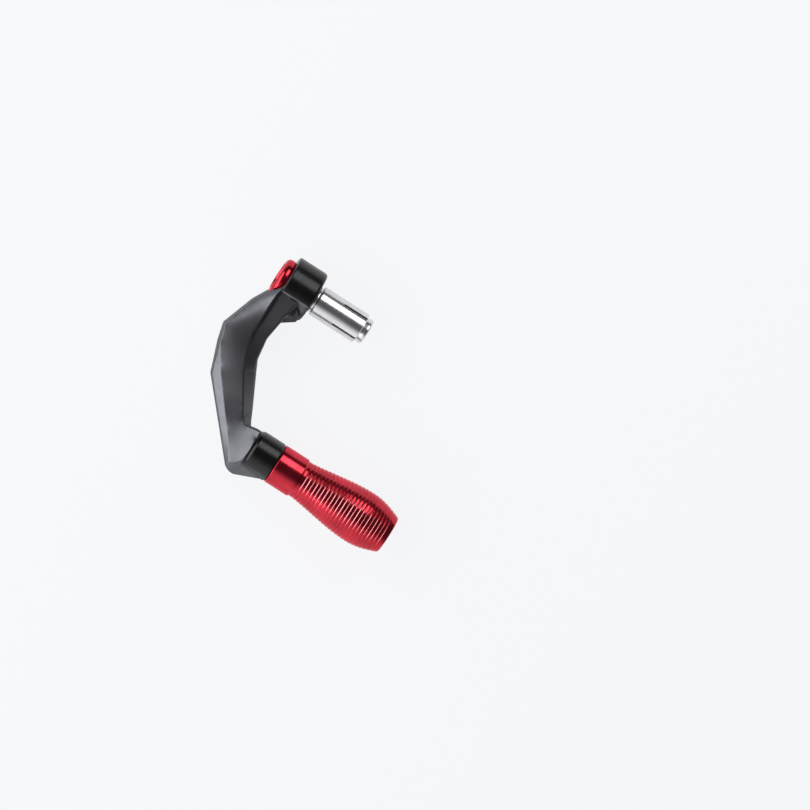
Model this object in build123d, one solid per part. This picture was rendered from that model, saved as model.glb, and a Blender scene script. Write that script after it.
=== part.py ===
from build123d import *
import os
from math import acos, atan2, cos, hypot, radians, sin, tan
from typing import NamedTuple

# Bar-end brake lever guard for the right-hand side of a motorbike's handlebar.
# Sizes are in millimetres. The bar's axis is X, and +X points into the bar.
# The handle lies ahead of the bar, at -Y, and the arm's middle plane is Z = 0.
# The origin is on the bar's axis, at the shoulder of the expander sleeve.

# Expander sleeve: a slotted plug that spreads inside the bar
sleeve_radius = 8.1
sleeve_length = 25.9
sleeve_chamfer = 0.3
finger_wall = 1.3
neck_step = 0.9
neck_length = 2.2
register_radius = 5.0
register_length = 6.0
slot_count = 4
slot_width = 1.0
slot_length = 13.8
first_slot_angle = 45.0

# Clamp bolt and handle screw: socket heads
bolt_radius = 3.0
bolt_clearance = 0.3
bolt_head_radius = 5.0
bolt_head_height = 6.0
bolt_tip_chamfer = 0.6
bolt_tip_setback = 0.8
head_chamfer = 0.4
head_clearance = 0.3
socket_across_flats = 5.0
socket_depth = 3.2
thread_clearance = 0.05
screw_in_stub = 12.0
screw_hole_spare = 1.0
screw_head_depth = 8.9

# Wedge nut: the cone that spreads the sleeve's fingers
wedge_length = 13.5
wedge_proud = 3.75
wedge_rim = 1.6
wedge_rim_chamfer = 0.7
wedge_half_angle = 8.0
wedge_travel = 2.0
wedge_clearance = 0.1

# Cup washer: the coloured cup on the eye's outer face
cup_radius = 10.4
cup_proud = 4.9
cup_base_inset = 0.4
cup_rim_inset = 1.6
cup_bulge_setback = 1.9
cup_rim_width = 1.5
cup_boss_wall = 1.4
cup_boss_length = 3.5
cup_floor = 1.6

# Eye of the arm
eye_radius = 13.8
eye_length = 16.5
eye_inner_fillet = 1.5
eye_outer_fillet = 0.5
running_clearance = 0.05
counterbore_clearance = 0.1
spotface_clearance = 0.6

# Handle axis and the arm's round stub
reach = 79.7
stub_start = 11.0
stub_length = 15.2
stub_radius = 10.7
stub_fillet = 2.0
stub_chamfer = 0.7
pilot_radius = 6.0
pilot_length = 3.6
pilot_clearance = 0.1

# Arm: its elbow behind the stub, its knuckle sunk in the stub, and the step beside its web
elbow_setback = 17.3
knuckle_sink = 0.6
step_width = 1.3

# Fairing under the stub: sunk a little where it runs off the round, and its toe at the stub's free end
fairing_sink = 0.15
fairing_toe_drop = 10.0
fairing_toe_bevel = 4.4
fairing_toe_edge = 2.6
fairing_toe_height = 6.6

# Gusset in the corner between the eye's inner end and the arm
gusset_half_thickness = 11.4
gusset_bevel = 3.4
gusset_heel_drop = 1.0
gusset_toe_drop = 19.6
gusset_toe_setback = 8.3

# Bumper handle: a turned barrel with a plain collar and fine grooves
collar_radius = 10.65
collar_length = 13.4
collar_chamfer = 0.5
barrel_neck_radius = 9.95
barrel_neck_length = 2.0
barrel_bulge_proud = 0.25
barrel_bulge_x = 50.3
barrel_end_radius = 9.95
barrel_neck_slope = 0.10
barrel_end_slope = -0.45
barrel_length = 66.9
barrel_end_chamfer = 0.5
groove_pitch = 2.05
groove_width = 0.85
groove_depth = 0.5
groove_margin = 0.5  # share of a pitch from the barrel's neck to its first groove


class Section(NamedTuple):
    """One upright section of the arm, on the line from its outer to its inner edge (x, y)."""

    outer: tuple
    inner: tuple
    bevel: float  # from the outer edge to the ridge of the outer bevel
    shoulder: float  # from the outer edge to the crown between bevel and step
    crest: float  # from the outer edge to the top of the step
    foot: float  # from the outer edge to the foot of the step
    lip: float  # from the ridge of the inner lip to the inner edge
    heights: tuple  # half thickness at the outer edge, bevel, shoulder, crest, foot, lip, inner edge


# Places worked out from the sizes above
bolt_hole_radius = bolt_radius + bolt_clearance
head_room = bolt_head_radius + head_clearance
neck_radius = sleeve_radius - neck_step
eye_inner = -neck_length
eye_outer = eye_inner - eye_length
cup_outer = eye_outer - cup_proud
cup_inner = eye_outer + cup_boss_length
cup_boss_radius = head_room + cup_boss_wall
head_seat = cup_inner - cup_floor
wedge_outer = sleeve_length + wedge_proud
wedge_taper = tan(radians(wedge_half_angle))
wedge_gap = wedge_clearance + wedge_travel * wedge_taper
sleeve_mouth_radius = sleeve_radius - finger_wall
wedge_end_radius = sleeve_mouth_radius - wedge_gap + (wedge_proud - wedge_rim) * wedge_taper
stub_end = stub_start + stub_length
collar_end = stub_end + collar_length
neck_end = collar_end + barrel_neck_length
barrel_end = stub_end + barrel_length
screw_seat = barrel_end - screw_head_depth
screw_tip = stub_end - screw_in_stub
barrel_bulge_radius = eye_radius + barrel_bulge_proud
elbow_x = stub_start - elbow_setback
knuckle_x = stub_start + knuckle_sink

# Arm sections, from the eye round the bend to the knuckle that carries the stub
arm_sections = [
    Section(
        (eye_outer, 0), (eye_inner - eye_inner_fillet, 0),
        0.2, 0.3, 0.4, 0.9, 0.9, (2.0, 6.0, 10.0, 12.4, 12.2, 12.0, 11.2),
    ),
    Section(
        (eye_outer - 4.6, -8.5), (eye_inner - 5.9, -8.5),
        1.0, 2.1, 4.6 - step_width, 4.6, 0.9, (9.2, 10.6, 12.0, 13.6, 12.4, 12.6, 11.7),
    ),
    Section(
        (eye_outer - 8.9, -16.5), (eye_inner - 7.8, -18.0),
        1.8, 4.4, 8.9 - step_width, 8.9, 0.9, (7.8, 9.4, 11.4, 13.5, 12.2, 12.4, 11.5),
    ),
    Section(
        (eye_outer - 14.6, -34.2), (eye_inner - 9.3, -29.5),
        3.0, 7.5, 14.9 - step_width, 14.9, 0.9, (9.2, 10.0, 11.3, 13.0, 12.0, 11.0, 10.0),
    ),
    Section(
        (eye_outer - 12.2, -43.6), (eye_inner - 7.5, -40.7),
        0.6, 5.0, 14.0, 14.4, 0.8, (8.8, 9.2, 10.1, 11.8, 11.6, 8.6, 7.6),
    ),
    Section(
        (elbow_x - 19.2, 20.7 - reach), (elbow_x - 0.2, 33.0 - reach),
        4.7, 9.5, 15.5, 15.8, 0.8, (5.2, 8.4, 9.2, 10.3, 10.1, 5.2, 4.2),
    ),
    Section(
        (elbow_x, -0.9 - reach), (elbow_x + 8.5, 16.3 - reach),
        4.0, 8.2, 12.9, 13.2, 0.8, (3.0, 5.3, 6.4, 7.5, 7.3, 2.8, 2.0),
    ),
    Section(
        (elbow_x + 0.6, -1.6 - reach), (elbow_x + 10.9, 11.2 - reach),
        3.7, 7.6, 12.0, 12.3, 0.8, (2.9, 5.4, 6.5, 7.8, 7.5, 3.8, 3.0),
    ),
    Section(
        (elbow_x + 12.1, -14.5 - reach), (elbow_x + 12.1, 8.8 - reach),
        2.9, 12.5, 22.6, 22.8, 0.25, (3.6, 5.9, 7.4, 8.8, 8.5, 8.2, 7.4),
    ),
    Section(
        (elbow_x + 14.6, -15.8 - reach), (elbow_x + 14.6, 9.5 - reach),
        5.5, 15.0, 24.6, 24.8, 0.25, (3.0, 6.8, 8.2, 9.6, 9.3, 9.0, 8.2),
    ),
    Section(
        (knuckle_x, -16.0 - reach), (knuckle_x, 9.8 - reach),
        9.1, 16.5, 25.1, 25.3, 0.25, (2.0, 8.1, 9.3, 10.4, 10.1, 9.8, 9.0),
    ),
]


def turned(*profile):
    """A solid of revolution about X, from (x, radius) corners."""
    return revolve(make_face(Polyline(*profile, close=True)), Axis.X)


def rod(start, end, radius):
    """A plain cylinder along X."""
    return turned((start, 0), (end, 0), (end, radius), (start, radius))


def socket_screw(seat, tip):
    """A socket-head screw along X, its shank running from its head's seat to its tip."""
    toward = 1 if tip > seat else -1
    top = seat - toward * bolt_head_height
    body = turned(
        (top, 0),
        (top, bolt_head_radius - head_chamfer),
        (top + toward * head_chamfer, bolt_head_radius),
        (seat, bolt_head_radius),
        (seat, bolt_radius),
        (tip - toward * bolt_tip_chamfer, bolt_radius),
        (tip, bolt_radius - bolt_tip_chamfer),
        (tip, 0),
    )
    face = Plane(origin=(top, 0, 0), z_dir=(toward, 0, 0))
    hexagon = RegularPolygon(socket_across_flats / 2, 6, major_radius=False)
    return body - extrude(face * hexagon, socket_depth)


def make_sleeve():
    """Slotted sleeve with a neck and a register, and a tapered mouth for the wedge nut."""
    cone_start = wedge_outer - wedge_length - wedge_travel - wedge_clearance
    throat_radius = sleeve_mouth_radius - (sleeve_length - cone_start) * wedge_taper
    body = turned(
        (eye_inner - register_length, bolt_hole_radius),
        (eye_inner - register_length, register_radius),
        (eye_inner, register_radius),
        (eye_inner, neck_radius),
        (0, neck_radius),
        (0, sleeve_radius - sleeve_chamfer),
        (sleeve_chamfer, sleeve_radius),
        (sleeve_length - sleeve_chamfer, sleeve_radius),
        (sleeve_length, sleeve_radius - sleeve_chamfer),
        (sleeve_length, sleeve_mouth_radius),
        (cone_start, throat_radius),
        (cone_start, bolt_hole_radius),
    )
    cutter = Pos(sleeve_length, 0, sleeve_radius) * Box(2 * slot_length, slot_width, 2 * sleeve_radius)
    for turn in range(slot_count):
        body -= Rot(first_slot_angle + turn * 360 / slot_count, 0, 0) * cutter
    return body


def make_wedge_nut():
    """Cone that the bolt draws into the sleeve, with a short plain rim at its large end."""
    start = wedge_outer - wedge_length
    rim = wedge_outer - wedge_rim
    hole = bolt_radius + thread_clearance
    return turned(
        (start, hole),
        (start, wedge_end_radius - (rim - start) * wedge_taper),
        (rim, wedge_end_radius),
        (wedge_outer - wedge_rim_chamfer, wedge_end_radius),
        (wedge_outer, wedge_end_radius - wedge_rim_chamfer),
        (wedge_outer, hole),
    )


def make_cup_washer():
    """Cup with a bulged side, a rim, a sloping mouth and a boss sunk in the eye."""
    rim_radius = cup_radius - cup_rim_inset
    base_radius = cup_radius - cup_base_inset
    bulge_x = eye_outer - cup_bulge_setback
    with BuildSketch() as section:
        with BuildLine():
            Polyline(
                (cup_outer, rim_radius),
                (cup_outer, rim_radius - cup_rim_width),
                (eye_outer, head_room),
                (head_seat, head_room),
                (head_seat, bolt_hole_radius),
                (cup_inner, bolt_hole_radius),
                (cup_inner, cup_boss_radius),
                (eye_outer, cup_boss_radius),
                (eye_outer, base_radius),
            )
            ThreePointArc((eye_outer, base_radius), (bulge_x, cup_radius), (cup_outer, rim_radius))
        make_face()
    return revolve(section.sketch, Axis.X)


def mirrored_face(upper):
    """Upright face under a run of (x, y, half height) points, the same above and below the middle plane."""
    lower = [(x, y, -z) for x, y, z in reversed(upper)]
    return make_face(Polyline(*upper, *lower, close=True))


def section_face(section):
    """Upright face of one arm section."""
    (x0, y0), (x1, y1) = section.outer, section.inner
    width = hypot(x1 - x0, y1 - y0)
    lip = width - section.lip
    offsets = (0, section.bevel, section.shoulder, section.crest, section.foot, lip, width)
    upper = []
    for offset, height in zip(offsets, section.heights):
        share = offset / width
        upper.append((x0 + share * (x1 - x0), y0 + share * (y1 - y0), height))
    return mirrored_face(upper)


def tangent_point(radius, drop, height):
    """Upper point (drop, height) where a line from the given point touches a circle about the origin."""
    turn = atan2(height, drop) + acos(radius / hypot(drop, height))
    return radius * cos(turn), radius * sin(turn)


def make_stub_fairing():
    """Shoulder that runs off the stub's round side to the knuckle's edge, and fades out along the stub."""
    knuckle = arm_sections[-1]
    edge_y = knuckle.outer[1]
    edge_height = knuckle.heights[0]
    touch_drop, touch_height = tangent_point(stub_radius - fairing_sink, -reach - edge_y, edge_height)
    root = [
        (stub_start, -reach, touch_height),
        (stub_start, -reach - touch_drop, touch_height),
        (stub_start, edge_y, edge_height),
    ]
    toe_x = stub_end - stub_chamfer
    toe_edge = -reach - fairing_toe_drop
    toe = [
        (toe_x, -reach, fairing_toe_height),
        (toe_x, toe_edge + fairing_toe_bevel, fairing_toe_height),
        (toe_x, toe_edge, fairing_toe_edge),
    ]
    return loft([mirrored_face(root), mirrored_face(toe)], ruled=True)


def make_gusset():
    """Web in the corner between the eye's inner end and the arm."""
    front = eye_inner - eye_inner_fillet
    back = eye_outer + eye_outer_fillet
    outline = Polyline(
        (front, 0),
        (front, -eye_radius - gusset_heel_drop),
        (eye_inner - gusset_toe_setback, -gusset_toe_drop),
        (back, -gusset_toe_drop),
        (back, 0),
        close=True,
    )
    plate = extrude(make_face(outline), gusset_half_thickness, both=True)
    rims = plate.faces().sort_by(Axis.X)[-2:].edges().filter_by(Plane.XY)
    return chamfer(rims, gusset_bevel)


def make_guard_arm():
    """The casting: eye, arm, gusset, knuckle and stub in one piece."""
    eye = rod(eye_outer, eye_inner, eye_radius)
    eye = fillet(eye.edges().sort_by(Axis.X)[-1], eye_inner_fillet)
    eye = fillet(eye.edges().sort_by(Axis.X)[0], eye_outer_fillet)
    stub = rod(stub_start, stub_end, stub_radius)
    stub = fillet(stub.edges().sort_by(Axis.X)[0], stub_fillet)
    stub = chamfer(stub.edges().sort_by(Axis.X)[-1], stub_chamfer)
    stub += rod(stub_end - stub_chamfer, stub_end + pilot_length, pilot_radius)
    beam = loft([section_face(section) for section in arm_sections], ruled=True)
    arm = eye + beam + make_gusset() + make_stub_fairing() + Pos(0, -reach, 0) * stub
    arm -= rod(cup_outer, eye_outer, cup_radius + spotface_clearance)
    arm -= rod(eye_outer, cup_inner, cup_boss_radius + counterbore_clearance)
    arm -= rod(eye_outer, eye_inner, bolt_hole_radius)
    arm -= rod(eye_inner - register_length, eye_inner, register_radius + running_clearance)
    screw_hole = rod(screw_tip - screw_hole_spare, stub_end + pilot_length, bolt_radius + thread_clearance)
    return arm - Pos(0, -reach, 0) * screw_hole


def hermite(x, start, end, start_slope, end_slope):
    """Radius at x on the cubic that joins two (x, radius) points with the slopes given."""
    span = end[0] - start[0]
    t = (x - start[0]) / span
    rise = t * t * (3 - 2 * t)
    bend = start_slope * t * (1 - t) ** 2 - end_slope * t * t * (1 - t)
    return start[1] + (end[1] - start[1]) * rise + span * bend


def barrel_radius(x):
    """Outside radius of the barrel between its grooves."""
    neck = (neck_end, barrel_neck_radius)
    bulge = (stub_end + barrel_bulge_x, barrel_bulge_radius)
    end = (barrel_end, barrel_end_radius)
    if x < bulge[0]:
        return hermite(x, neck, bulge, barrel_neck_slope, 0)
    return hermite(x, bulge, end, 0, barrel_end_slope)


def make_handle():
    """Turned barrel: collar, neck, a bulged body with evenly spaced V grooves, and a bore for its screw."""
    outside = [
        (stub_end, collar_radius - collar_chamfer),
        (stub_end + collar_chamfer, collar_radius),
        (collar_end, collar_radius),
        (collar_end + collar_radius - barrel_neck_radius, barrel_neck_radius),
        (neck_end, barrel_neck_radius),
    ]
    groove_count = int((barrel_end - neck_end) / groove_pitch - groove_margin)
    for groove in range(groove_count):
        bottom = neck_end + (groove + groove_margin) * groove_pitch
        left = bottom - groove_width / 2
        right = bottom + groove_width / 2
        outside += [
            (left, barrel_radius(left)),
            (bottom, barrel_radius(bottom) - groove_depth),
            (right, barrel_radius(right)),
        ]
    outside += [
        (barrel_end - barrel_end_chamfer, barrel_radius(barrel_end - barrel_end_chamfer)),
        (barrel_end, barrel_end_radius - barrel_end_chamfer),
    ]
    pilot_room = pilot_radius + pilot_clearance
    inside = [
        (barrel_end, head_room),
        (screw_seat, head_room),
        (screw_seat, bolt_hole_radius),
        (stub_end + pilot_length + pilot_clearance, bolt_hole_radius),
        (stub_end + pilot_length + pilot_clearance, pilot_room),
        (stub_end, pilot_room),
    ]
    return Pos(0, -reach, 0) * turned(*outside, *inside)


os.makedirs("parts", exist_ok=True)
nodes = {
    "guard_arm": make_guard_arm(),
    "bumper_handle": make_handle(),
    "handle_screw": Pos(0, -reach, 0) * socket_screw(screw_seat, screw_tip),
    "cup_washer": make_cup_washer(),
    "clamp_bolt": socket_screw(head_seat, wedge_outer - bolt_tip_setback),
    "expander_sleeve": make_sleeve(),
    "wedge_nut": make_wedge_nut(),
}
for name, solid in nodes.items():
    export_step(solid, f"parts/{name}.step")
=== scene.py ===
import bmesh
import bpy
import numpy as np
from mathutils import Matrix, Vector


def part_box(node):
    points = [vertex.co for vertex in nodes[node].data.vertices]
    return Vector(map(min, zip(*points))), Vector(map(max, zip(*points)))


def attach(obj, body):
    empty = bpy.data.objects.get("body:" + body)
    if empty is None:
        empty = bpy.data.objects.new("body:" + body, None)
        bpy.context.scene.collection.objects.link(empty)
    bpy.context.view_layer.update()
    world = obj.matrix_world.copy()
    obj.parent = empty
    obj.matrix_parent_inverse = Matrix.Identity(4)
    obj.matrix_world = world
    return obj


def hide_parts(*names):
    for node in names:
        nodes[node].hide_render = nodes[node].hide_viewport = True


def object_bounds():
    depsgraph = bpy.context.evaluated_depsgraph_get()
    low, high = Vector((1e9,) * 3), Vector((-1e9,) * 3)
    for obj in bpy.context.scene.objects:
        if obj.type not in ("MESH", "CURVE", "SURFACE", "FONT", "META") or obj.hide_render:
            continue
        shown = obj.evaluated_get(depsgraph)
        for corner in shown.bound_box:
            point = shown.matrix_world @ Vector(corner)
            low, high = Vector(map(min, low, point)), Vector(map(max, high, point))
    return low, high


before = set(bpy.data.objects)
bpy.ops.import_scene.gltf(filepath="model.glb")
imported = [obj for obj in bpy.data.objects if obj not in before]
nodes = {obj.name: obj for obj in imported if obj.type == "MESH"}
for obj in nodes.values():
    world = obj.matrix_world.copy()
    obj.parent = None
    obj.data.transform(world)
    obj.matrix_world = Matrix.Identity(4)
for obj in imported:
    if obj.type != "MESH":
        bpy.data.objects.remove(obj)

# Bar-end lever guard on a white studio floor, seen from above as in the photo.
# Everything is in metres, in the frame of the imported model.

cadLow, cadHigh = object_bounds()
mm = 0.001
tiny = 0.01 * mm  # keeps divisions away from zero
handleLow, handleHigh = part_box("bumper_handle")
handleAxisY = (handleLow.y + handleHigh.y) / 2
print("frame loaded:", sorted(nodes))


# Mesh helpers

cornerSteps = 6  # points on each rounded corner of a profile


def gridQuads(rows, columns):
    # quads of a grid that closes on itself both ways
    row = np.arange(rows)[:, None]
    column = np.arange(columns)[None, :]
    nextRow = (row + 1) % rows
    nextColumn = (column + 1) % columns
    corners = [row * columns + column, nextRow * columns + column,
               nextRow * columns + nextColumn, row * columns + nextColumn]
    return np.stack([np.broadcast_to(c, (rows, columns)) for c in corners], -1).reshape(-1, 4)


def meshPiece(name, points, quads):
    mesh = bpy.data.meshes.new(name)
    mesh.vertices.add(len(points))
    mesh.vertices.foreach_set("co", np.ascontiguousarray(points, np.float32).ravel())
    mesh.loops.add(quads.size)
    mesh.loops.foreach_set("vertex_index", quads.astype(np.int32).ravel())
    mesh.polygons.add(len(quads))
    mesh.polygons.foreach_set("loop_start", np.arange(0, quads.size, 4, dtype=np.int32))
    mesh.update(calc_edges=True)
    mesh.validate()
    mesh.shade_smooth()
    piece = bpy.data.objects.new(name, mesh)
    bpy.context.scene.collection.objects.link(piece)
    return piece


def roundCorners(corners, radii, most=0.45):
    # each corner becomes a quadratic curve between points set back along its two sides,
    # at most by that share of the shorter one
    corners = np.asarray(corners, float)
    radii = np.asarray(radii, float)[:, None]
    toLast = np.roll(corners, 1, 0) - corners
    toNext = np.roll(corners, -1, 0) - corners
    lastLength = np.linalg.norm(toLast, axis=1, keepdims=True)
    nextLength = np.linalg.norm(toNext, axis=1, keepdims=True)
    setback = np.minimum(radii, most * np.minimum(lastLength, nextLength))
    start = corners + toLast / lastLength * setback
    end = corners + toNext / nextLength * setback
    t = np.linspace(0, 1, cornerSteps)[None, :, None]
    curve = (1 - t) ** 2 * start[:, None] + 2 * t * (1 - t) * corners[:, None] + t ** 2 * end[:, None]
    return curve.reshape(-1, 2)


def densify(profile, spacing, closed=True):
    # adds points along a profile, so that no side is longer than the spacing
    line = np.vstack([profile, profile[:1]]) if closed else profile
    along = np.concatenate([[0], np.cumsum(np.linalg.norm(np.diff(line, axis=0), axis=1))])
    extra = np.arange(0, along[-1], spacing)
    wanted = np.unique(np.round(np.concatenate([along[:-1] if closed else along, extra]), 7))
    return np.stack([np.interp(wanted, along, line[:, 0]), np.interp(wanted, along, line[:, 1])], 1)


def turnedPiece(name, profile, axisY, around):
    # a closed profile of (x, radius) carried round an axis along X:
    # point = (x, axisY + radius * cos(turn), radius * sin(turn))
    turn = np.linspace(0, 2 * np.pi, around, endpoint=False)[None, :]
    x, radius = profile[:, :1], profile[:, 1:]
    points = np.stack([np.broadcast_to(x, (len(profile), around)),
                       axisY + radius * np.cos(turn), radius * np.sin(turn)], -1)
    piece = meshPiece(name, points.reshape(-1, 3), gridQuads(len(profile), around))
    faceOutward(piece)
    return piece


def faceOutward(piece):
    work = bmesh.new()
    work.from_mesh(piece.data)
    bmesh.ops.recalc_face_normals(work, faces=work.faces)
    work.to_mesh(piece.data)
    work.free()


# Shader helpers

class NodeTree:
    def __init__(self, tree):
        self.tree = tree

    def add(self, kind, **values):
        node = self.tree.nodes.new(kind)
        for key, value in values.items():
            setattr(node, key, value)
        return node

    def put(self, socket, value):
        if isinstance(value, bpy.types.NodeSocket):
            self.tree.links.new(value, socket)
        else:
            socket.default_value = value

    def math(self, operation, a, b=0.0, clamp=False):
        node = self.add("ShaderNodeMath", operation=operation, use_clamp=clamp)
        self.put(node.inputs[0], a)
        self.put(node.inputs[1], b)
        return node.outputs[0]

    def spread(self, value, low, high, toLow=0.0, toHigh=1.0):
        node = self.add("ShaderNodeMapRange", interpolation_type="SMOOTHSTEP")
        for index, item in enumerate((value, low, high, toLow, toHigh)):
            self.put(node.inputs[index], item)
        return node.outputs[0]

    def blend(self, share, a, b):
        node = self.add("ShaderNodeMix", data_type="RGBA")
        self.put(node.inputs["Factor"], share)
        self.put(node.inputs[6], a)
        self.put(node.inputs[7], b)
        return node.outputs[2]

    def noise(self, vector, scale, detail=2.0, dimensions="3D"):
        node = self.add("ShaderNodeTexNoise", noise_dimensions=dimensions)
        self.put(node.inputs["W" if dimensions == "1D" else "Vector"], vector)
        self.put(node.inputs["Scale"], scale)
        self.put(node.inputs["Detail"], detail)
        return node.outputs["Fac"]

    def group(self, group, **values):
        node = self.add("ShaderNodeGroup", node_tree=group)
        for key, value in values.items():
            self.put(node.inputs[key], value)
        return node.outputs


def newGroup(name, inputs, outputs):
    group = bpy.data.node_groups.new(name, "ShaderNodeTree")
    for label, kind, value in inputs:
        socket = group.interface.new_socket(label, in_out="INPUT", socket_type=kind)
        if value is not None:
            socket.default_value = value
    for label, kind in outputs:
        group.interface.new_socket(label, in_out="OUTPUT", socket_type=kind)
    tree = NodeTree(group)
    return tree, tree.add("NodeGroupInput"), tree.add("NodeGroupOutput")


def newMaterial(name):
    material = bpy.data.materials.new(name)
    material.use_nodes = True
    tree = NodeTree(material.node_tree)
    shader = material.node_tree.nodes["Principled BSDF"]
    place = tree.add("ShaderNodeTexCoord").outputs["Object"]
    return material, tree, shader, place


def bumpInto(tree, shader, height, strength, distance):
    bump = tree.add("ShaderNodeBump")
    tree.put(bump.inputs["Strength"], strength)
    tree.put(bump.inputs["Distance"], distance)
    tree.put(bump.inputs["Height"], height)
    tree.put(shader.inputs["Normal"], bump.outputs[0])


# Shared effects: turning marks round an axis along X, and the grain of a blasted or dyed surface

noiseRange = (0.3, 0.7)  # where most values of a noise lie


def makeTurningMarks():
    tree, source, result = newGroup(
        "turningMarks",
        [("Place", "NodeSocketVector", None), ("Axis Y", "NodeSocketFloat", 0.0),
         ("Pitch", "NodeSocketFloat", 0.2 * mm)],
        [("Radius", "NodeSocketFloat"), ("Lines", "NodeSocketFloat"), ("Bands", "NodeSocketFloat")])
    split = tree.add("ShaderNodeSeparateXYZ")
    tree.put(split.inputs[0], source.outputs["Place"])
    x, y, z = split.outputs
    y = tree.math("SUBTRACT", y, source.outputs["Axis Y"])
    squares = tree.math("ADD", tree.math("MULTIPLY", y, y), tree.math("MULTIPLY", z, z))
    radius = tree.math("SQRT", squares)
    travel = tree.math("DIVIDE", tree.math("ADD", x, radius), source.outputs["Pitch"])
    tree.put(result.inputs["Radius"], radius)
    tree.put(result.inputs["Lines"], tree.noise(travel, 1.0, 3.0, "1D"))
    tree.put(result.inputs["Bands"], tree.noise(travel, 0.07, 2.0, "1D"))  # one band is about 14 lines
    return tree.tree


def makeFinishGrain():
    tree, source, result = newGroup(
        "finishGrain",
        [("Place", "NodeSocketVector", None), ("Grain Size", "NodeSocketFloat", 0.3 * mm),
         ("Cloud Size", "NodeSocketFloat", 12 * mm)],
        [("Grain", "NodeSocketFloat"), ("Clouds", "NodeSocketFloat")])
    place = source.outputs["Place"]
    grainScale = tree.math("DIVIDE", 1.0, source.outputs["Grain Size"])
    cloudScale = tree.math("DIVIDE", 1.0, source.outputs["Cloud Size"])
    tree.put(result.inputs["Grain"], tree.noise(place, grainScale, 2.0))
    tree.put(result.inputs["Clouds"], tree.noise(place, cloudScale, 4.0))
    return tree.tree


turningMarks = makeTurningMarks()
finishGrain = makeFinishGrain()


# Camera: looks down on the arm, tipped towards the cup, the bar's axis sloping down to the right

photoView = {
    "tip": 5.0,  # degrees from straight down
    "roll": 32.7,  # degrees of the bar's axis below the picture's horizontal
    "target": (65.2 * mm, -20.2 * mm, 0.0),
    "frameWidth": 405 * mm,
    "lens": 400.0,
    "sensor": 36.0,
    "clip": (0.05, 50.0),
}


def makeCamera(settings):
    tip, roll = np.radians(settings["tip"]), np.radians(settings["roll"])
    back = Vector((-np.sin(tip), 0, np.cos(tip)))
    alongBar = Vector((np.cos(tip), 0, np.sin(tip)))
    acrossBar = Vector((0, 1, 0))
    right = alongBar * np.cos(roll) + acrossBar * np.sin(roll)
    up = acrossBar * np.cos(roll) - alongBar * np.sin(roll)
    data = bpy.data.cameras.new("photoCamera")
    data.lens = settings["lens"]
    data.sensor_width = settings["sensor"]
    data.clip_start, data.clip_end = settings["clip"]
    distance = settings["frameWidth"] * settings["lens"] / settings["sensor"]
    camera = bpy.data.objects.new("photoCamera", data)
    bpy.context.scene.collection.objects.link(camera)
    turn = Matrix((right, up, back)).transposed().to_4x4()
    camera.matrix_world = Matrix.Translation(Vector(settings["target"]) + back * distance) @ turn
    bpy.context.scene.camera = camera


makeCamera(photoView)
print("camera set")


# Floor, world and lamps

studio = {
    "floorReach": 12.0,
    "floorColour": (0.86, 0.865, 0.875, 1),
    "floorGlow": 0.92,  # share of plain white that camera and reflections see in the floor
    "glowColour": (0.950, 0.957, 0.972, 1),
    "brightColour": (1.12, 1.12, 1.14, 1),
    "dimColour": (0.09, 0.09, 0.095, 1),
    "brightSide": (0.0, -1.0),  # the tent's pale wall; the ceiling and the other walls are dim
    "brightFrom": 0.28,
    "brightTo": 1.0,
    # name, direction from the object, distance, width, height, brightness
    "lamps": [
        ("leftBox", (-0.94, -0.33, 0.68), 0.9, 1.7, 0.88, 2.4),
        ("backStrip", (0.09, 0.71, 0.70), 1.0, 0.36, 0.60, 3.0),
    ],
}


def makeFloor(settings):
    reach, height = settings["floorReach"], cadLow.z
    points = np.array([[-reach, -reach, height], [reach, -reach, height],
                       [reach, reach, height], [-reach, reach, height]])
    floor = meshPiece("studioFloor", points, np.array([[0, 1, 2, 3]]))
    material = bpy.data.materials.new("paleFloor")
    material.use_nodes = True
    tree = NodeTree(material.node_tree)
    material.node_tree.nodes.remove(material.node_tree.nodes["Principled BSDF"])
    light = tree.add("ShaderNodeLightPath")
    seen = tree.math("ADD", light.outputs["Is Camera Ray"], light.outputs["Is Glossy Ray"], clamp=True)
    seen = tree.math("ADD", seen, light.outputs["Is Transmission Ray"], clamp=True)
    matt = tree.add("ShaderNodeBsdfDiffuse")
    matt.inputs["Color"].default_value = settings["floorColour"]
    glow = tree.add("ShaderNodeEmission")
    glow.inputs["Color"].default_value = settings["glowColour"]
    mix = tree.add("ShaderNodeMixShader")
    tree.put(mix.inputs[0], tree.math("MULTIPLY", seen, settings["floorGlow"]))
    tree.put(mix.inputs[1], matt.outputs[0])
    tree.put(mix.inputs[2], glow.outputs[0])
    tree.put(material.node_tree.nodes["Material Output"].inputs[0], mix.outputs[0])
    floor.data.materials.append(material)


def makeWorld(settings):
    world = bpy.data.worlds.new("studioWorld")
    world.use_nodes = True
    tree = NodeTree(world.node_tree)
    side = tree.add("ShaderNodeVectorMath", operation="DOT_PRODUCT")
    tree.put(side.inputs[0], tree.add("ShaderNodeTexCoord").outputs["Generated"])
    tree.put(side.inputs[1], (*settings["brightSide"], 0.0))
    bright = tree.spread(side.outputs["Value"], settings["brightFrom"], settings["brightTo"])
    colour = tree.blend(bright, settings["dimColour"], settings["brightColour"])
    tree.put(world.node_tree.nodes["Background"].inputs[0], colour)
    bpy.context.scene.world = world


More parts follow.
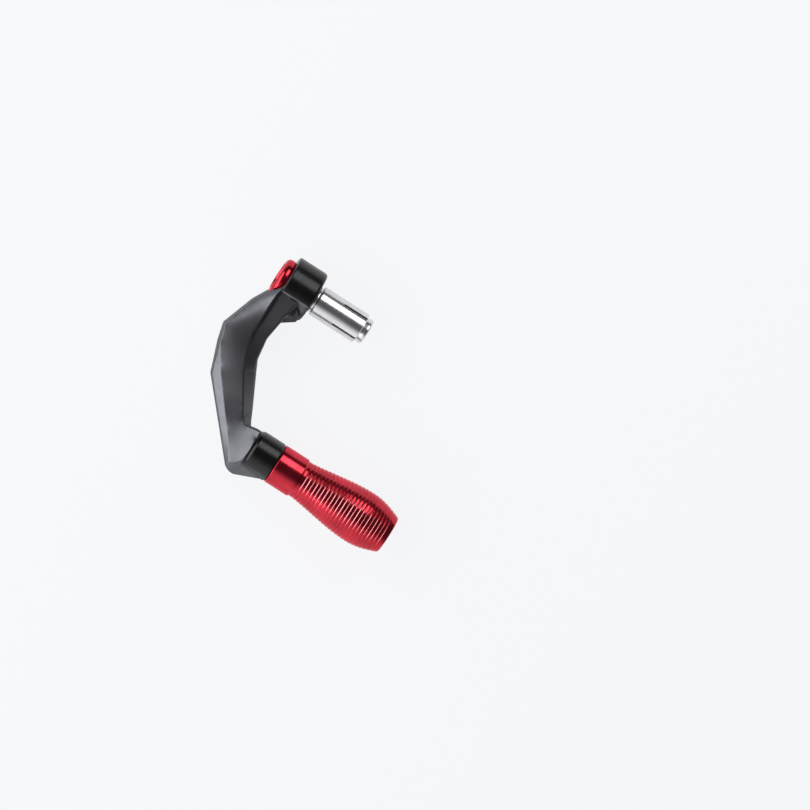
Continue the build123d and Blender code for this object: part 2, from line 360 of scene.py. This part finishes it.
def makeLamps(settings):
    centre = (cadLow + cadHigh) / 2
    for name, direction, distance, width, height, brightness in settings["lamps"]:
        data = bpy.data.lights.new(name, "AREA")
        data.shape = "RECTANGLE"
        data.size, data.size_y = width, height
        data.energy = brightness * np.pi * width * height
        lamp = bpy.data.objects.new(name, data)
        bpy.context.scene.collection.objects.link(lamp)
        toward = Vector(direction).normalized()
        lamp.location = centre + toward * distance
        lamp.rotation_euler = toward.to_track_quat("Z", "Y").to_euler()
        lamp.visible_camera = False


makeFloor(studio)
makeWorld(studio)
makeLamps(studio)
bpy.context.scene.view_settings.view_transform = "Standard"
print("studio set")


# Black arm: the casting with its ridges and corners softened

arm = {
    "voxel": 0.4 * mm,
    "softening": 7,  # passes that round the ridges
    "edgeSoftening": 4,  # passes on the bend's outer edge, which is sharper
    "sharpAlong": (-41.0 * mm, -10.0 * mm),  # where that edge lies along Y
    "sharpShare": 0.9,  # and how far across the plain face it starts
    # outline in plan of the arm's plain upper face in mm, whose folds run out softly
    "plainFace": [(-23.3, -8.5), (-27.6, -16.5), (-33.3, -34.2), (-30.3, -43.5), (-21.6, -56.4),
                  (-4.5, -77.0), (5.8, -91.3), (8.3, -90.0), (11.0, -86.6), (11.1, -71.0), (5.8, -71.6),
                  (1.8, -72.0), (-0.6, -69.0), (-12.5, -50.6), (-17.0, -41.7), (-20.0, -31.3),
                  (-20.0, -17.1), (-20.1, -8.4)],
    "plainHeight": 4.0 * mm,  # its heights are above this, on either side of the middle plane
    "plainPasses": 300,
    "outlineEdge": 0.7 * mm,  # strip in which an outline's effect falls to nothing
    # lift of the plain face in rows: place along -Y in mm, where along X in mm it starts and is whole,
    # and its share of the height
    "lift": [
        (8.5, -20.0, -23.3, 0.0),
        (12.0, -20.0, -25.2, 0.04),
        (16.5, -20.0, -27.6, 0.15),
        (20.0, -20.0, -28.8, 0.20),
        (24.0, -20.0, -30.0, 0.24),
        (29.0, -19.7, -31.7, 0.32),
        (34.2, -19.2, -33.3, 0.37),
        (43.6, -16.5, -30.9, 0.24),
        (53.0, -12.0, -23.9, 0.04),
        (63.0, -9.0, -16.1, 0.03),
        (72.0, -2.0, -8.7, 0.12),
        (80.0, 4.0, -2.3, 0.12),
        (88.0, 9.0, 3.4, 0.0),
    ],
    "liftBeyond": 1.5,  # how far the lift grows past the line where it is whole
    # crown of the face between the eye and the bend: place along -Y in mm, share of the height
    "crown": [(8.5, 0.008), (11.0, 0.018), (13.5, 0.014), (16.5, 0.003), (24.0, 0.012), (31.0, 0.0)],
    # ramp up to the stub: place along -Y in mm, share of its lift there
    "ramp": [(68.0, 0.0), (70.0, 1.0), (85.0, 1.0), (91.0, 0.0)],
    "rampLift": 0.1,  # share of the height
    "rampStart": -1.0 * mm,
    "rampLength": 12.0 * mm,
    "rampTop": 11.3 * mm,
    # axis Y, radius, start and end of the turned sides of eye and stub
    "rounds": [(0.0, 13.8 * mm, -18.0 * mm, -4.0 * mm),
               (handleAxisY, 10.7 * mm, 13.2 * mm, 25.3 * mm)],
    "roundReach": 0.2 * mm,  # how far from a turned side its points may lie
    "stubStart": 11.0 * mm,
    "stubRounding": 3.6 * mm,
    "stubGap": 0.6 * mm,  # left as it is at the stub's start
    "stubFade": (-8.0 * mm, -4.0 * mm),  # across the stub's axis
    "bandMiddle": 11.5 * mm,  # band smoothed at the stub's start
    "bandWhole": 0.36 * mm,
    "bandReach": 0.96 * mm,
    "bandFrom": -66.0 * mm,  # along Y
    "bandPasses": 12,
    # painted shade: hollows and creases of the arm are darkened where shade falls; these set how they are
    # found
    "hollowPasses": 3,
    "hollowGain": 24.0,
    "hollowEnd": 1.0 * mm,  # no dark hollows past this place along X
    # outline in plan of the gusset under the eye in mm, which is darker: painted shade
    "gusset": [(-7.6, -5.8), (-8.1, -8.5), (-10.0, -18.0), (-9.0, -20.5), (-1.5, -20.6), (-1.4, -5.7)],
    "gussetShadeShare": 0.35,
}

armFinish = {
    "satinColour": (0.150, 0.152, 0.166, 1),
    "cloudColour": (0.140, 0.142, 0.155, 1),
    # painted shade in hollows, in creases and on the gusset
    "hollowShadeColour": (0.011, 0.011, 0.012, 1),
    "turnedColour": (0.0015, 0.0015, 0.0018, 1),
    "satinRoughness": (0.36, 0.42),
    "turnedRoughness": (0.25, 0.28),
    "turnedSpecular": 1.0,
    "grazing": (0.40, 0.40, 0.41, 1),  # tint of grazing reflections
    "edgeSheen": 0.03,
    "grainSize": 0.35 * mm,
    "grainStrength": 0.12,
    "grainDepth": 0.05 * mm,
    "cloudSize": 14 * mm,
    "turningPitch": 0.15 * mm,
    # the turned finish ends at the web's foot on the eye, and fades into the fairing on the stub
    "eyeRadius": (13.95 * mm, 14.1 * mm),
    "eyeFoot": (-5.2 * mm, -4.9 * mm),
    "stubRadius": (10.75 * mm, 12.8 * mm),
    "stubStart": (11.0 * mm, 11.3 * mm),
    "stubFoot": (-91.5 * mm, -87.0 * mm),
}


def mergedCopy(node, name):
    mesh = nodes[node].data.copy()
    mesh.name = name
    work = bmesh.new()
    work.from_mesh(mesh)
    bmesh.ops.remove_doubles(work, verts=work.verts, dist=1e-6)
    work.to_mesh(mesh)
    work.free()
    mesh.materials.clear()
    piece = bpy.data.objects.new(name, mesh)
    bpy.context.scene.collection.objects.link(piece)
    return piece


def applied(piece):
    view = bpy.context.evaluated_depsgraph_get()
    mesh = bpy.data.meshes.new_from_object(piece.evaluated_get(view))
    piece.modifiers.clear()
    piece.data = mesh
    return mesh


def readRows(items, key, width, kind=float):
    values = np.empty(len(items) * width, kind)
    items.foreach_get(key, values)
    return values.reshape(-1, width)


def neighbourMean(values, edges):
    # mean of each point's neighbours, from sums over all edges both ways
    count = len(values)
    ends = np.concatenate([edges[:, 0], edges[:, 1]])
    others = np.concatenate([edges[:, 1], edges[:, 0]])
    degree = np.bincount(ends, minlength=count)
    sums = [np.bincount(ends, weights=column[others], minlength=count) for column in values.T]
    return np.stack(sums, 1) / np.maximum(degree, 1)[:, None]


def settle(values, edges, share, passes):
    # each pass moves every value half way to the mean of its neighbours, times its share
    for _ in range(passes):
        values += 0.5 * share * (neighbourMean(values, edges) - values)


def insideOutline(points, outline, edge):
    # one inside a closed outline in plan, falling to nothing over a strip along it
    place = points[:, None, :2]
    start = np.array(outline) * mm
    end = np.roll(start, -1, 0)
    side = end - start
    crosses = (start[:, 1] > place[..., 1]) != (end[:, 1] > place[..., 1])
    at = start[:, 0] + (place[..., 1] - start[:, 1]) * side[:, 0] / side[:, 1]
    inside = (crosses & (place[..., 0] < at)).sum(1) % 2
    share = np.clip(((place - start) * side).sum(2) / (side ** 2).sum(1), 0, 1)
    gap = np.linalg.norm(place - start - share[..., None] * side, axis=2).min(1)
    return inside * np.clip(gap / edge, 0, 1)


def rowValue(points, rows, column=1):
    # a column's value at each point's place along -Y, straight between the rows
    rows = np.array(rows)
    return np.interp(-points[:, 1] / mm, rows[:, 0], rows[:, column])


def liftShare(points, settings):
    # none at the line where the lift starts, one at the line where it is whole
    start = rowValue(points, settings["lift"], 1) * mm
    whole = rowValue(points, settings["lift"], 2) * mm
    return np.clip((start - points[:, 0]) / np.maximum(start - whole, mm), 0, settings["liftBeyond"])


def softenRidges(points, edges, settings):
    low, high = settings["sharpAlong"]
    sharp = liftShare(points, settings) > settings["sharpShare"]
    sharp &= (points[:, 1] > low) & (points[:, 1] < high)
    settle(points, edges, 1.0, settings["edgeSoftening"])
    share = np.where(sharp, 0.0, 1.0)[:, None]
    settle(points, edges, share, settings["softening"] - settings["edgeSoftening"])


def raiseFaces(points, settings):
    # heights grow evenly across the plain face, and by a square up the ramp to the stub
    x = points[:, 0]
    lift = rowValue(points, settings["lift"], 3) * liftShare(points, settings)
    climb = np.clip((x - settings["rampStart"]) / settings["rampLength"], 0, 1) ** 2
    onRamp = rowValue(points, settings["ramp"]) * (x < settings["rampTop"])
    points[:, 2] *= 1 + lift + settings["rampLift"] * climb * onRamp


def settlePlainFace(points, edges, settings):
    # folds across the plain face run out: its heights settle between the lines that bound it
    plain = insideOutline(points, settings["plainFace"], settings["outlineEdge"])
    plain = plain * (np.abs(points[:, 2]) > settings["plainHeight"])
    settle(points[:, 2:], edges, plain[:, None], settings["plainPasses"])


def crownFace(points, settings):
    # between the eye and the bend the face is crowned by a parabola across it
    share = np.clip(liftShare(points, settings), 0, 1)
    points[:, 2] *= 1 + 4 * rowValue(points, settings["crown"]) * share * (1 - share)


def scaleRound(points, axisY, scale):
    points[:, 1] = axisY + (points[:, 1] - axisY) * scale
    points[:, 2] *= scale


def trueRounds(points, settings):
    # points close to a turned side move out or in to its radius
    turned = np.zeros(len(points), bool)
    for axisY, radius, start, end in settings["rounds"]:
        reach = np.hypot(points[:, 1] - axisY, points[:, 2])
        near = np.abs(reach - radius) < settings["roundReach"]
        near &= (points[:, 0] > start) & (points[:, 0] < end)
        turned |= near
        scaleRound(points, axisY, np.where(near, radius / np.maximum(reach, tiny), 1))
    return turned


def roundStub(points, settings):
    # the stub starts with a quarter round, which fades out towards the fairing
    axisY, radius, _, _ = settings["rounds"][1]
    start, rounding = settings["stubStart"], settings["stubRounding"]
    across = points[:, 1] - axisY
    reach = np.hypot(across, points[:, 2])
    back = np.clip(start + rounding - points[:, 0], 0, rounding)
    limit = radius - rounding + np.sqrt(rounding ** 2 - back ** 2)
    chosen = (points[:, 0] > start + settings["stubGap"]) & (reach > limit)
    chosen &= reach < radius + settings["roundReach"]
    low, high = settings["stubFade"]
    fade = np.clip((across - low) / (high - low), 0, 1)
    scaleRound(points, axisY, np.where(chosen, 1 + fade * (limit / np.maximum(reach, tiny) - 1), 1))


def smoothStubStart(points, edges, settings):
    # the groove at the stub's start is smoothed in a narrow band
    gap = np.abs(points[:, :1] - settings["bandMiddle"])
    reach = settings["bandReach"]
    band = np.clip((reach - gap) / (reach - settings["bandWhole"]), 0, 1)
    settle(points, edges, band * (points[:, 1:2] < settings["bandFrom"]), settings["bandPasses"])


def hollowShadeShare(points, normals, edges, settings):
    # painted shade: how far the mean of a point's neighbours lies above it, evened out, with a share on
    # the gusset; hollows and creases are darkened by it
    rise = ((neighbourMean(points, edges) - points) * normals).sum(1, keepdims=True)
    for _ in range(settings["hollowPasses"]):
        rise = neighbourMean(rise, edges)
    hollowShade = np.clip(rise[:, 0] / settings["voxel"] * settings["hollowGain"], 0, 1)
    hollowShade *= points[:, 0] < settings["hollowEnd"]
    gusset = insideOutline(points, settings["gusset"], settings["outlineEdge"])
    return np.maximum(hollowShade, settings["gussetShadeShare"] * gusset)


def straightNormals(points, normals, turned):
    # normals of the turned sides point straight out from the nearer axis
    straight = points * (0, 1, 1)
    straight[:, 1] -= np.where(points[:, 1] < handleAxisY / 2, handleAxisY, 0)
    straight /= np.linalg.norm(straight, axis=1, keepdims=True)
    return np.where(turned[:, None], straight, normals)


def makeArm(settings, finish):
    piece = mergedCopy("guard_arm", "guardArm")
    remesh = piece.modifiers.new("remesh", "REMESH")
    remesh.mode = "VOXEL"
    remesh.voxel_size = settings["voxel"]
    mesh = applied(piece)
    points = readRows(mesh.vertices, "co", 3)
    edges = readRows(mesh.edges, "vertices", 2, np.int32)
    softenRidges(points, edges, settings)
    raiseFaces(points, settings)
    settlePlainFace(points, edges, settings)
    crownFace(points, settings)
    turned = trueRounds(points, settings)
    roundStub(points, settings)
    smoothStubStart(points, edges, settings)
    mesh.vertices.foreach_set("co", points.astype(np.float32).ravel())
    mesh.update()
    normals = readRows(mesh.vertices, "normal", 3)
    # painted shade for hollows, creases and the gusset, kept as an attribute
    hollowShade = hollowShadeShare(points, normals, edges, settings)
    mesh.attributes.new("hollowShade", "FLOAT", "POINT").data.foreach_set("value", hollowShade.astype(np.float32))
    mesh.shade_smooth()
    mesh.normals_split_custom_set_from_vertices(straightNormals(points, normals, turned))
    print("arm faces:", len(mesh.polygons))
    mesh.materials.append(makeArmBlack(finish))
    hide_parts("guard_arm")
    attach(piece, "guard")


def turnedMask(tree, place, eyeRadius, stubRadius, finish):
    # one on the turned sides of eye and stub, none on the blasted faces
    split = tree.add("ShaderNodeSeparateXYZ")
    tree.put(split.inputs[0], place)
    x, y, _ = split.outputs
    onEye = tree.math("MULTIPLY", tree.spread(eyeRadius, *finish["eyeRadius"], 1.0, 0.0),
                      tree.spread(y, *finish["eyeFoot"]))
    onStub = tree.math("MULTIPLY", tree.spread(stubRadius, *finish["stubRadius"], 1.0, 0.0),
                       tree.spread(x, *finish["stubStart"]))
    onStub = tree.math("MULTIPLY", onStub, tree.spread(y, *finish["stubFoot"]))
    return tree.math("ADD", onEye, onStub, clamp=True)


def makeArmBlack(finish):
    material, tree, shader, place = newMaterial("armBlack")
    grain = tree.group(finishGrain, **{"Place": place, "Grain Size": finish["grainSize"],
                                       "Cloud Size": finish["cloudSize"]})
    pitch = finish["turningPitch"]
    eye = tree.group(turningMarks, **{"Place": place, "Axis Y": 0.0, "Pitch": pitch})
    stub = tree.group(turningMarks, **{"Place": place, "Axis Y": handleAxisY, "Pitch": pitch})
    turned = turnedMask(tree, place, eye["Radius"], stub["Radius"], finish)
    blasted = tree.math("SUBTRACT", 1.0, turned)
    # painted shade: hollows, creases and the gusset are darkened towards this colour
    hollowShade = tree.add("ShaderNodeAttribute", attribute_name="hollowShade").outputs["Fac"]
    clouds = tree.spread(grain["Clouds"], *noiseRange)
    colour = tree.blend(clouds, finish["satinColour"], finish["cloudColour"])
    colour = tree.blend(hollowShade, colour, finish["hollowShadeColour"])
    colour = tree.blend(turned, colour, finish["turnedColour"])
    tree.put(shader.inputs["Base Color"], colour)
    satinRough = tree.spread(grain["Clouds"], *noiseRange, *finish["satinRoughness"])
    turnedRough = tree.spread(eye["Bands"], *noiseRange, *finish["turnedRoughness"])
    rough = tree.add("ShaderNodeMix", data_type="FLOAT")
    for index, value in ((0, turned), (2, satinRough), (3, turnedRough)):
        tree.put(rough.inputs[index], value)
    tree.put(shader.inputs["Roughness"], rough.outputs[0])
    tree.put(shader.inputs["Metallic"], blasted)
    shader.inputs["Specular IOR Level"].default_value = finish["turnedSpecular"]
    shader.inputs["Specular Tint"].default_value = finish["grazing"]
    shader.inputs["Sheen Weight"].default_value = finish["edgeSheen"]
    strength = tree.math("MULTIPLY", blasted, finish["grainStrength"])
    bumpInto(tree, shader, grain["Grain"], strength, finish["grainDepth"])
    return material


makeArm(arm, armFinish)
print("arm made")


# Red handle: a turned barrel with a plain collar and evenly spaced grooves

handle = {
    "collarRadius": 10.65 * mm,
    "collarLength": 13.4 * mm,
    "neckRadius": 9.95 * mm,
    "neckLength": 2.0 * mm,
    "bulgeAt": 50.3 * mm,
    "endRadius": 9.95 * mm,
    "neckSlope": 0.10,
    "endSlope": -0.45,
    "groovePitch": 2.05 * mm,
    "grooveWidth": 0.8 * mm,
    "grooveDepth": 0.32 * mm,
    "perGroove": 14,  # points of the profile on each pitch
    "tipGap": 0.3 * mm,  # plain bit before the free end's edge
    "boreRadius": 3.3 * mm,
    "headRoom": 5.3 * mm,
    "headDepth": 8.9 * mm,
    "pilotRadius": 6.1 * mm,
    "pilotDepth": 3.7 * mm,
    # rounding of the collar's start and end, the neck, the barrel's start, the free end and the insides
    "edges": [0.45 * mm, 0.12 * mm, 0.3 * mm, 0.0, 0.45 * mm] + [0.25 * mm] * 6,
    "spacing": 0.5 * mm,
    "around": 128,
    # painted glint: pale lines on the grooves' sides facing the collar stand in for highlights
    "flankSlope": (0.4, 0.9),  # slopes at which the grooves' pale lines start and are whole
    "flankFade": (0.84, 0.96),  # the lines fade towards the sides, by the sine of the turn
    "flankLeast": 0.12,
}

redFinish = {
    "colour": (0.62, 0.018, 0.042, 1),
    "deepColour": (0.45, 0.008, 0.022, 1),
    "flankGlintColour": (0.95, 0.40, 0.42, 1),  # painted glint: the grooves' edges are paler, standing in for highlights
    "roughness": (0.17, 0.27),
    "grazing": (1.0, 0.35, 0.42, 1),
    "coat": 0.5,
    "coatRoughness": 0.12,
    "cloudSize": 9 * mm,
    "turningPitch": 0.12 * mm,
    "markStrength": 0.02,
    "markDepth": 0.02 * mm,
}


def easedRadius(x, start, end, startSlope, endSlope):
    # cubic between two (x, radius) points with the slopes given at its ends
    span = end[0] - start[0]
    t = (x - start[0]) / span
    rise = t * t * (3 - 2 * t)
    bend = startSlope * t * (1 - t) ** 2 - endSlope * t * t * (1 - t)
    return start[1] + (end[1] - start[1]) * rise + span * bend


def barrelLine(settings, neckEnd, end):
    # two cubics meet at the bulge, and each groove dips by one wave of a cosine
    pitch = settings["groovePitch"]
    neck = (neckEnd, settings["neckRadius"])
    bulge = (handleLow.x + settings["bulgeAt"], (handleHigh.y - handleLow.y) / 2)
    tip = (end, settings["endRadius"])
    x = np.arange(neckEnd, end - settings["tipGap"], pitch / settings["perGroove"])
    radius = np.where(x < bulge[0], easedRadius(x, neck, bulge, settings["neckSlope"], 0.0),
                      easedRadius(x, bulge, tip, 0.0, settings["endSlope"]))
    grooves = int((end - neckEnd) / pitch - 0.5)  # the last one stays clear of the free end
    step = (x - neckEnd) / pitch
    fromGroove = np.abs(step - np.floor(step) - 0.5) * pitch
    dip = 0.5 + 0.5 * np.cos(np.pi * np.minimum(fromGroove / (settings["grooveWidth"] / 2), 1))
    dip = np.where(step < grooves, dip, 0)
    return np.stack([x, radius - settings["grooveDepth"] * dip], 1)


def flankGlintShare(profile, neckEnd, settings):
    # painted glint: the sides of the grooves that face the collar, where the radius climbs steeply, get a
    # pale colour
    step = np.roll(profile, -1, 0) - np.roll(profile, 1, 0)
    onBarrel = (profile[:, 1] > settings["pilotRadius"]) & (profile[:, 0] > neckEnd)
    slope = np.where(onBarrel & (step[:, 0] > 0), step[:, 1] / np.maximum(step[:, 0], tiny), 0)
    low, high = settings["flankSlope"]
    steep = np.clip((slope - low) / (high - low), 0, 1)
    turn = np.linspace(0, 2 * np.pi, settings["around"], endpoint=False)
    low, high = settings["flankFade"]
    upright = np.clip((np.abs(np.sin(turn)) - low) / (high - low), settings["flankLeast"], 1)
    return np.outer(steep, upright).ravel()


def makeHandle(settings):
    start, end = handleLow.x, handleHigh.x
    collarEnd = start + settings["collarLength"]
    neckEnd = collarEnd + settings["neckLength"]
    barrel = barrelLine(settings, neckEnd, end)
    collarRadius, neckRadius = settings["collarRadius"], settings["neckRadius"]
    collar = [(start, collarRadius), (collarEnd, collarRadius),
              (collarEnd + collarRadius - neckRadius, neckRadius)]
    inside = [(end, settings["endRadius"]), (end, settings["headRoom"]),
              (end - settings["headDepth"], settings["headRoom"]),
              (end - settings["headDepth"], settings["boreRadius"]),
              (start + settings["pilotDepth"], settings["boreRadius"]),
              (start + settings["pilotDepth"], settings["pilotRadius"]),
              (start, settings["pilotRadius"])]
    outline = roundCorners(np.vstack([collar, barrel[:1], inside]), settings["edges"])
    # the rest of the barrel goes in after its first point
    cut = (len(collar) + 1) * cornerSteps
    profile = densify(np.vstack([outline[:cut], barrel[1:], outline[cut:]]), settings["spacing"])
    piece = turnedPiece("bumperHandle", profile, handleAxisY, settings["around"])
    # painted glint on the grooves' sides, kept as an attribute
    flankGlint = flankGlintShare(profile, neckEnd, settings).astype(np.float32)
    piece.data.attributes.new("flankGlint", "FLOAT", "POINT").data.foreach_set("value", flankGlint)
    piece.data.materials.append(makeRedAnodised("redAnodised", redFinish, handleAxisY))
    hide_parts("bumper_handle")
    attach(piece, "guard")
    print("handle profile points:", len(profile))


def makeRedAnodised(name, finish, axisY):
    material, tree, shader, place = newMaterial(name)
    grain = tree.group(finishGrain, **{"Place": place, "Cloud Size": finish["cloudSize"]})
    marks = tree.group(turningMarks, **{"Place": place, "Axis Y": axisY, "Pitch": finish["turningPitch"]})
    # painted glint: the grooves' sides blend towards a pale colour
    flankGlint = tree.add("ShaderNodeAttribute", attribute_name="flankGlint").outputs["Fac"]
    clouds = tree.spread(grain["Clouds"], *noiseRange)
    colour = tree.blend(clouds, finish["colour"], finish["deepColour"])
    tree.put(shader.inputs["Base Color"], tree.blend(flankGlint, colour, finish["flankGlintColour"]))
    tree.put(shader.inputs["Roughness"], tree.spread(marks["Lines"], *noiseRange, *finish["roughness"]))
    shader.inputs["Metallic"].default_value = 1.0
    shader.inputs["Specular Tint"].default_value = finish["grazing"]
    shader.inputs["Coat Weight"].default_value = finish["coat"]
    shader.inputs["Coat Roughness"].default_value = finish["coatRoughness"]
    bumpInto(tree, shader, marks["Lines"], finish["markStrength"], finish["markDepth"])
    return material


makeHandle(handle)
print("handle made")


# Red cup: a domed washer with a rounded rim and a sloping mouth for the bolt's head

cup = {
    "proud": 4.9 * mm,
    "rimRadius": 8.8 * mm,
    "rimWidth": 1.5 * mm,
    "rimLength": 0.6 * mm,
    "bulgeSetback": 1.9 * mm,
    "baseRadius": 10.0 * mm,
    "bossRadius": 6.7 * mm,
    "headRoom": 5.3 * mm,
    "boreRadius": 3.3 * mm,
    "floor": 1.6 * mm,
    "domePoints": 24,
    "edges": [0.65 * mm, 0.6 * mm] + [0.2 * mm] * 6,  # rounding of the rim's two edges and the insides
    "spacing": 0.4 * mm,
    "around": 128,
}


def makeCup(settings):
    low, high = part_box("cup_washer")
    face = low.x + settings["proud"]
    seat = high.x - settings["floor"]
    rimRadius, baseRadius = settings["rimRadius"], settings["baseRadius"]
    # side of the dome: from its widest place a parabola falls to its base, and a cubic to its rim
    widest = (high.y - low.y) / 2
    bulgeX = face - settings["bulgeSetback"]
    x = np.linspace(face, low.x + settings["rimLength"], settings["domePoints"])
    toBase = np.maximum(x - bulgeX, 0) / (face - bulgeX)
    toRim = np.maximum(bulgeX - x, 0) / (bulgeX - low.x)
    fall = (widest - baseRadius) * toBase ** 2 + (widest - rimRadius) * toRim ** 3
    dome = np.stack([x, widest - fall], 1)
    corners = [(low.x, rimRadius), (low.x, rimRadius - settings["rimWidth"]),
               (face, settings["headRoom"]), (seat, settings["headRoom"]),
               (seat, settings["boreRadius"]), (high.x, settings["boreRadius"]),
               (high.x, settings["bossRadius"]), (face, settings["bossRadius"])]
    outline = roundCorners(np.vstack([dome, corners]), [0.0] * len(dome) + settings["edges"])
    profile = densify(outline, settings["spacing"])
    piece = turnedPiece("cupWasher", profile, 0.0, settings["around"])
    piece.data.materials.append(makeRedAnodised("redAnodisedCup", redFinish, 0.0))
    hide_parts("cup_washer")
    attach(piece, "guard")


makeCup(cup)
print("cup made")


# Bright plug: a sleeve with four slots, and the wedge nut in its mouth

brightFinish = {
    "colour": (0.72, 0.72, 0.735, 1),
    "dull": (0.63, 0.63, 0.65, 1),
    "roughness": (0.21, 0.26),
}
steelFinish = {
    "colour": (0.42, 0.42, 0.44, 1),
    "dull": (0.30, 0.30, 0.32, 1),
    "roughness": (0.25, 0.4),
}
turnedSurface = {
    "cloudSize": 6 * mm,
    "cloudRange": (0.35, 0.75),
    "pitch": 0.1 * mm,
    "markStrength": 0.03,
    "markDepth": 0.02 * mm,
}


def makeTurnedMetal(name, finish, surface, axisY):
    material, tree, shader, place = newMaterial(name)
    grain = tree.group(finishGrain, **{"Place": place, "Cloud Size": surface["cloudSize"]})
    marks = tree.group(turningMarks, **{"Place": place, "Axis Y": axisY, "Pitch": surface["pitch"]})
    clouds = tree.spread(grain["Clouds"], *surface["cloudRange"])
    tree.put(shader.inputs["Base Color"], tree.blend(clouds, finish["colour"], finish["dull"]))
    tree.put(shader.inputs["Roughness"], tree.spread(marks["Lines"], *noiseRange, *finish["roughness"]))
    shader.inputs["Metallic"].default_value = 1.0
    bumpInto(tree, shader, marks["Lines"], surface["markStrength"], surface["markDepth"])
    return material


sleeve = {
    "registerRadius": 5.0 * mm,
    "neckLength": 2.2 * mm,
    "neckRadius": (6.95 * mm, 7.3 * mm),  # at the neck's ends and in its middle
    "neckEdge": 0.1 * mm,
    "neckRounding": 0.5 * mm,
    "edge": 0.3 * mm,
    "boreRadius": 3.3 * mm,
    "mouthWall": 1.3 * mm,
    "coneStart": 14.0 * mm,
    "coneAngle": 8.0,
    "slots": 4,
    "slotStart": 12.1 * mm,
    "slotWidth": 1.0 * mm,
    "firstSlot": 45.0,
    "perFinger": 40,  # columns on each finger
    "fingerRows": 36,
    "spacing": 0.4 * mm,
    "sharpAngle": 40.0,
}


def makeSleeve(settings, material):
    low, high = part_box("expander_sleeve")
    radius, end, edge = (high.y - low.y) / 2, high.x, settings["edge"]
    neck, slotStart = -settings["neckLength"], settings["slotStart"]
    narrow, full = settings["neckRadius"]
    neckEdge = settings["neckEdge"]
    # outer rows: register, neck, shoulder and plain side up to the slots, then the fingers and their end
    corners = [(low.x, settings["registerRadius"]), (neck, settings["registerRadius"]), (neck, narrow),
               (neck / 2, full), (0, narrow), (0, radius), (slotStart, radius)]
    radii = [0.0, 0.0, neckEdge, settings["neckRounding"], neckEdge, edge, 0.0]
    plain = densify(roundCorners(corners, radii), settings["spacing"], closed=False)
    fingerX = np.append(np.linspace(slotStart, end - edge, settings["fingerRows"])[1:], end)
    fingers = np.stack([fingerX, np.where(fingerX < end, radius, radius - edge)], 1)
    outer = np.vstack([plain, fingers])
    slotRow, rows = len(plain) - 1, 2 * len(outer)
    # inner rows: one under each outer row, a plain bore and then a cone that widens to the mouth
    innerX = np.concatenate([np.linspace(low.x, slotStart, len(plain)), fingerX])
    cone = radius - settings["mouthWall"] - (end - innerX) * np.tan(np.radians(settings["coneAngle"]))
    innerRadius = np.where(innerX < settings["coneStart"], settings["boreRadius"], cone)
    profile = np.vstack([outer, np.stack([innerX, innerRadius], 1)[::-1]])
    # turn of each column: fingers lie between slots of one width, whose angle grows as the radius falls
    quarter = 2 * np.pi / settings["slots"]
    perFinger = settings["perFinger"]
    columns = settings["slots"] * perFinger
    finger, place = np.divmod(np.arange(columns)[None, :], perFinger)
    half = np.arcsin(settings["slotWidth"] / 2 / profile[:, 1:])
    turn = np.radians(settings["firstSlot"]) + finger * quarter + half
    turn = turn + place / (perFinger - 1) * (quarter - 2 * half)
    points = np.stack([np.broadcast_to(profile[:, :1], turn.shape), profile[:, 1:] * np.cos(turn),
                       profile[:, 1:] * np.sin(turn)], -1).reshape(-1, 3)
    # the slots' quads go, and walls join outer and inner rows along the slots' sides and bottoms
    row = np.arange(rows)
    slotted = (row >= slotRow) & (row < rows - 1 - slotRow)
    lastColumn = np.arange(perFinger - 1, columns, perFinger)
    firstColumn = (lastColumn + 1) % columns
    keep = np.ones((rows, columns), bool)
    keep[np.ix_(slotted, lastColumn)] = False
    quads = gridQuads(rows, columns)[keep.ravel()]
    above = np.arange(slotRow, len(outer) - 1)[:, None]
    below = rows - 1 - above
    sides = np.concatenate([lastColumn, firstColumn])[None, :]
    walls = np.stack([above * columns + sides, (above + 1) * columns + sides,
                      (below - 1) * columns + sides, below * columns + sides], -1).reshape(-1, 4)
    under = rows - 1 - slotRow
    bottoms = np.stack([slotRow * columns + lastColumn, slotRow * columns + firstColumn,
                        under * columns + firstColumn, under * columns + lastColumn], -1)
    piece = meshPiece("expanderSleeve", points, np.vstack([quads, walls, bottoms]))
    faceOutward(piece)
    piece.data.set_sharp_from_angle(angle=np.radians(settings["sharpAngle"]))
    piece.data.materials.append(material)
    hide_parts("expander_sleeve")
    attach(piece, "plug")


wedge = {
    "rim": 1.6 * mm,
    "edge": 0.7 * mm,
    "rounding": 0.2 * mm,
    "coneAngle": 8.0,
    "boreRadius": 3.05 * mm,
    "spacing": 0.4 * mm,
    "around": 128,
}


def makeWedge(settings, material):
    low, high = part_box("wedge_nut")
    radius = (high.y - low.y) / 2
    rim = high.x - settings["rim"]
    small = radius - (rim - low.x) * np.tan(np.radians(settings["coneAngle"]))
    corners = [(low.x, settings["boreRadius"]), (low.x, small), (rim, radius),
               (high.x - settings["edge"], radius), (high.x, radius - settings["edge"]),
               (high.x, settings["boreRadius"])]
    outline = roundCorners(corners, [settings["rounding"]] * len(corners))
    profile = densify(outline, settings["spacing"])
    piece = turnedPiece("wedgeNut", profile, 0.0, settings["around"])
    piece.data.materials.append(material)
    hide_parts("wedge_nut")
    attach(piece, "wedge")


brightAluminium = makeTurnedMetal("brightAluminium", brightFinish, turnedSurface, 0.0)
makeSleeve(sleeve, brightAluminium)
makeWedge(wedge, brightAluminium)
print("plug made")


# Steel screws keep their solids

for label, axisY in (("clamp_bolt", 0.0), ("handle_screw", handleAxisY)):
    slots = nodes[label].data.materials
    slots.clear()
    slots.append(makeTurnedMetal(label + "Steel", steelFinish, turnedSurface, axisY))
print("screws finished")
